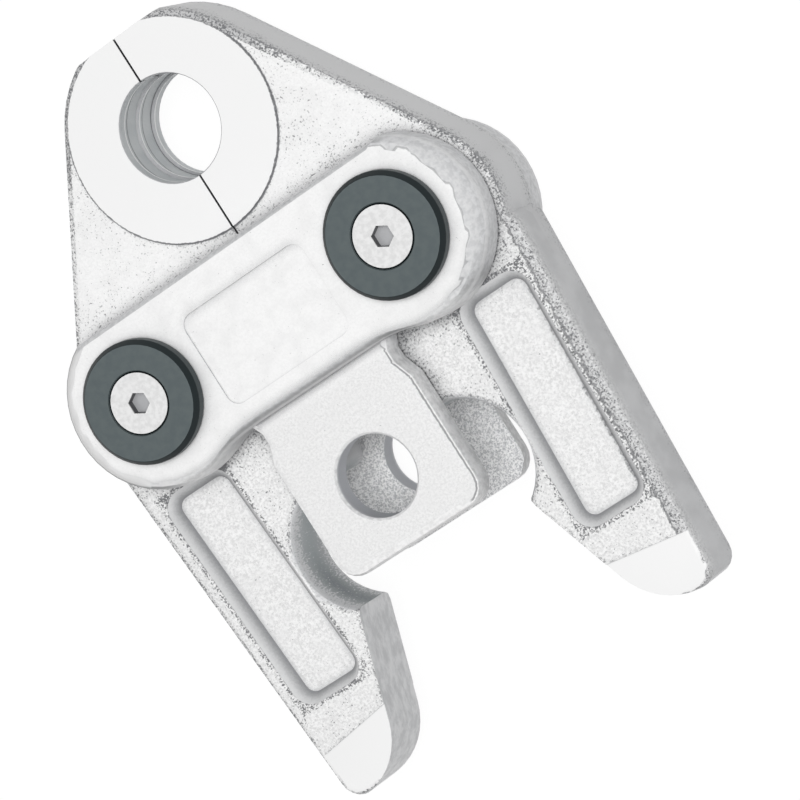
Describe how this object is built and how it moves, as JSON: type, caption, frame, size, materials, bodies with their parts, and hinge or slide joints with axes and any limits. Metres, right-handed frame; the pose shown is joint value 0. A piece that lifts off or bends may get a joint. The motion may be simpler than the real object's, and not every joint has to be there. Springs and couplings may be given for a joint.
{
  "type": "press fitting tool jaw",
  "caption": "Pipe press tool jaw: forged jaws with a split press ring and roller cams, hinged between T-shaped plates with a hole for the tool's retaining pin.",
  "frame": {"origin": "centre of the back plate's flat outer face on the line between the two pivot pins; the jaw lies on that face", "axes": "+Z out of the front plate, +Y from the pins towards the press ring, +X across to the right-hand jaw"},
  "size_m": [0.0858, 0.1273, 0.037],
  "materials": {
    "plate_steel": "pale satin steel",
    "jaw_steel": "shot-blasted forging, machined at the ring, the cams and the arms' ends",
    "pin_steel": "ground",
    "disc_black": "blackened, satin",
    "screw_steel": "zinc plated, satin",
    "spring_steel": "spring steel"
  },
  "bodies": {
    "plates": {"front_plate": "plate_steel", "back_plate": "plate_steel", "left_pin": "pin_steel", "right_pin": "pin_steel", "left_disc": "disc_black", "right_disc": "disc_black", "left_screw": "screw_steel", "right_screw": "screw_steel", "closing_spring": "spring_steel"},
    "left_jaw": {"left_jaw": "jaw_steel"},
    "right_jaw": {"right_jaw": "jaw_steel"}
  },
  "joints": [
    {"name": "left_jaw_hinge", "type": "hinge", "parent": "plates", "child": "left_jaw", "pos_m": [-0.02595, 0, 0.017], "axis": [0, 0, 1], "range_deg": [0, 14], "stiffness_Nm_per_rad": 1.3, "springref_deg": -13.75, "deforming": ["closing_spring"]},
    {"name": "right_jaw_hinge", "type": "hinge", "parent": "plates", "child": "right_jaw", "pos_m": [0.02595, 0, 0.017], "axis": [0, 0, -1], "range_deg": [0, 14], "stiffness_Nm_per_rad": 1.3, "springref_deg": -13.75, "deforming": ["closing_spring"]}
  ]
}
